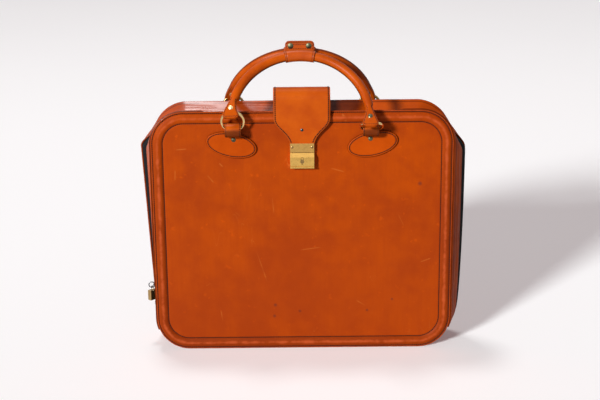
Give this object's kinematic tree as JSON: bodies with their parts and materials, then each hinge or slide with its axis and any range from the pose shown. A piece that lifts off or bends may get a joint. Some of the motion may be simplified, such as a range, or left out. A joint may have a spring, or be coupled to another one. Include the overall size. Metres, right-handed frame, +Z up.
{
  "type": "suitcase",
  "caption": "Leather suitcase with raised stitched borders, paired ringed handles, a flap with a brass lock, and a zip with a small padlock.",
  "frame": {"origin": "middle of the base's underside, on the floor", "axes": "X to the right seen from the front, the front with the lock faces -Y, Z is up"},
  "size_m": [0.5634, 0.1716, 0.54],
  "materials": {
    "panel_leather": "smooth waxed",
    "gusset_leather": "soft, waxed",
    "flap_leather": "smooth waxed",
    "handle_leather": "rolled, waxed",
    "patch_leather": "smooth waxed",
    "cane": "plain",
    "board": "plain",
    "lining": "woven",
    "rope": "twisted",
    "zip_tape": "woven",
    "zip_coil": "moulded",
    "slider_metal": "enamelled",
    "dark_metal": "darkened",
    "steel": "polished",
    "rivet_brass": "aged",
    "brass": "polished"
  },
  "bodies": {
    "back_shell": {"back_panel": "panel_leather", "back_border_core": "cane", "back_board": "board", "back_lining": "lining", "back_gusset": "gusset_leather", "bottom_gusset": "gusset_leather", "bottom_board": "board", "back_zip_tape": "zip_tape", "back_zip_chain": "zip_coil", "back_zip_stops": "slider_metal", "back_left_loop": "handle_leather", "back_right_loop": "handle_leather", "back_left_patch": "patch_leather", "back_right_patch": "patch_leather", "back_patch_rivets": "rivet_brass"},
    "front_shell": {"front_panel": "panel_leather", "front_border_core": "cane", "front_board": "board", "pocket_wall": "board", "front_gusset": "gusset_leather", "front_zip_tape": "zip_tape", "front_zip_chain": "zip_coil", "front_zip_stops": "slider_metal", "front_left_loop": "handle_leather", "front_right_loop": "handle_leather", "front_left_patch": "patch_leather", "front_right_patch": "patch_leather", "front_patch_rivets": "rivet_brass", "lock_base": "brass", "lock_case": "brass", "key_cover_pin": "brass", "flap_base": "flap_leather"},
    "flap": {"flap": "flap_leather", "flap_stud": "rivet_brass", "hasp": "brass", "hasp_rivets": "brass"},
    "key_cover": {"key_cover": "brass"},
    "front_handle": {"front_handle": "handle_leather", "front_handle_core": "rope", "front_handle_rivets": "rivet_brass", "front_grip": "handle_leather", "front_snaps": "brass", "front_left_ring": "brass", "front_right_ring": "brass"},
    "back_handle": {"back_handle": "handle_leather", "back_handle_core": "rope", "back_handle_rivets": "rivet_brass", "back_grip": "handle_leather", "back_snaps": "brass", "back_left_ring": "brass", "back_right_ring": "brass"},
    "upper_slider": {"upper_slider": "slider_metal"},
    "pull_ring": {"pull_ring": "dark_metal"},
    "padlock": {"padlock_body": "brass", "padlock_shackle": "steel"},
    "lower_slider": {"lower_slider": "slider_metal"},
    "slider_pull": {"slider_pull": "slider_metal"}
  },
  "joints": [
    {"name": "lid", "type": "hinge", "parent": "back_shell", "child": "front_shell", "pos_m": [0, -0.051, 0], "axis": [1, 0, 0], "range_deg": [0, 80]},
    {"name": "flap_bend", "type": "hinge", "parent": "front_shell", "child": "flap", "pos_m": [0, -0.0154, 0.445], "axis": [-1, 0, 0], "range_deg": [0, 120]},
    {"name": "key_cover_swing", "type": "hinge", "parent": "front_shell", "child": "key_cover", "pos_m": [0, -0.0575, 0.347], "axis": [0, 1, 0], "range_deg": [-100, 100]},
    {"name": "front_handle_fold", "type": "hinge", "parent": "front_shell", "child": "front_handle", "pos_m": [0, -0.05919, 0.3965], "axis": [1, 0, 0], "range_deg": [0, 80]},
    {"name": "back_handle_fold", "type": "hinge", "parent": "back_shell", "child": "back_handle", "pos_m": [0, 0.05919, 0.3965], "axis": [-1, 0, 0], "range_deg": [0, 120]},
    {"name": "upper_slider_run", "type": "slide", "parent": "back_shell", "child": "upper_slider", "axis": [-0.0509, 0, 0.9987], "range_m": [0, 0.23]},
    {"name": "lower_slider_run", "type": "slide", "parent": "back_shell", "child": "lower_slider", "axis": [-0.0509, 0, 0.9987], "range_m": [-0.006, 0.002]},
    {"name": "slider_pull_swing", "type": "hinge", "parent": "lower_slider", "child": "slider_pull", "pos_m": [-0.26386, 0, 0.07089], "axis": [0, 1, 0], "range_deg": [0, 105]},
    {"name": "pull_ring_turn", "type": "hinge", "parent": "upper_slider", "child": "pull_ring", "pos_m": [-0.27079, 0, 0.10462], "axis": [0, 1, 0], "continuous": true},
    {"name": "padlock_swing", "type": "hinge", "parent": "upper_slider", "child": "padlock", "pos_m": [-0.27079, 0, 0.09942], "axis": [1, 0, 0], "range_deg": [-22, 22]}
  ]
}
